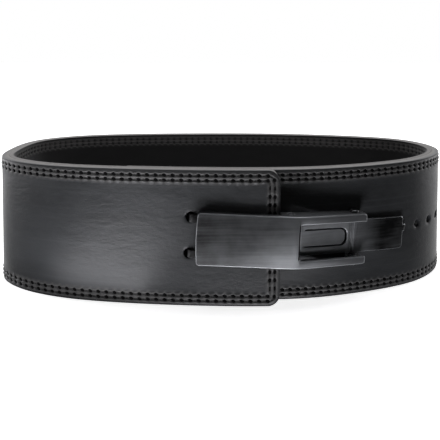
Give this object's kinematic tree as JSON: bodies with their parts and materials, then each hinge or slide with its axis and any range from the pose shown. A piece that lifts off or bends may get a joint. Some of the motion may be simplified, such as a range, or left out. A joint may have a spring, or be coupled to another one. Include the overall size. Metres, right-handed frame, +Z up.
{
  "type": "weightlifting belt",
  "caption": "Stiff leather lever belt, fastened and standing on its edge, with a lapped front, a hinged steel lever buckle and a row of adjustment holes.",
  "frame": {"origin": "middle of the bounding box's bottom, on the floor", "axes": "+X to the viewer's right along the belt's long side, -Y towards the front with the buckle, +Z up across the strip's width"},
  "size_m": [0.3764, 0.1796, 0.1],
  "materials": {
    "belt_leather": "black grain leather, semi-matt, with burnished edges",
    "belt_lining": "matt black suede",
    "buckle_steel": "satin black coating on brushed sheet steel",
    "fastener_steel": "semi-gloss black"
  },
  "bodies": {
    "root": {"outer_leather": "belt_leather", "lining_leather": "belt_lining", "lever": "buckle_steel", "base_plate": "buckle_steel", "hook_link": "buckle_steel", "link_pin": "fastener_steel", "pivot_rivet_upper": "fastener_steel", "pivot_rivet_lower": "fastener_steel", "mounting_screw_1": "fastener_steel", "mounting_screw_2": "fastener_steel"}
  },
  "joints": []
}
